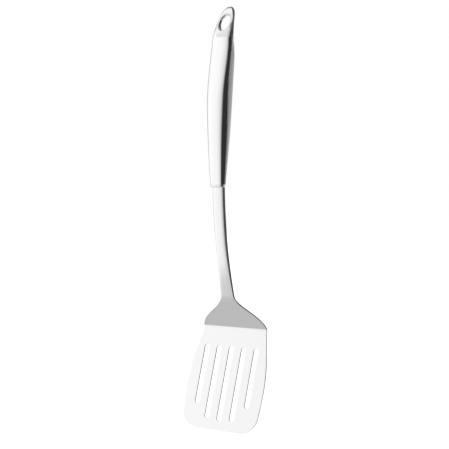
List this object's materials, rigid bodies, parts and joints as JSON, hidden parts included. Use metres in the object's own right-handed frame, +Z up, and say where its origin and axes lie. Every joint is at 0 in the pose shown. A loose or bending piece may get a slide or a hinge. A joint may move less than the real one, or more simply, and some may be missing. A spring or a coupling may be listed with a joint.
{
  "type": "slotted turner",
  "caption": "Slotted turner in stainless steel: flared flat blade with long slots, bent shoulder, slim shank and hollow welded handle with an oval hanging hole.",
  "frame": {"origin": "centre of the oval hanging hole, just inside its front rim", "axes": "+Z up the handle as the turner hangs, -Y the food side of the blade, X across the blade"},
  "size_m": [0.0756, 0.0307, 0.3441],
  "materials": {
    "satin_steel": "bright satin stainless steel with fine polishing marks along the metal",
    "polished_steel": "buffed, nearly mirror-bright stainless steel",
    "weld_steel": "ground and polished weld bead"
  },
  "bodies": {
    "root": {"blade": "satin_steel", "handle_front_shell": "polished_steel", "handle_rear_shell": "polished_steel", "hang_hole_liner": "polished_steel", "seam_weld": "weld_steel", "mouth_weld": "weld_steel"}
  },
  "joints": []
}
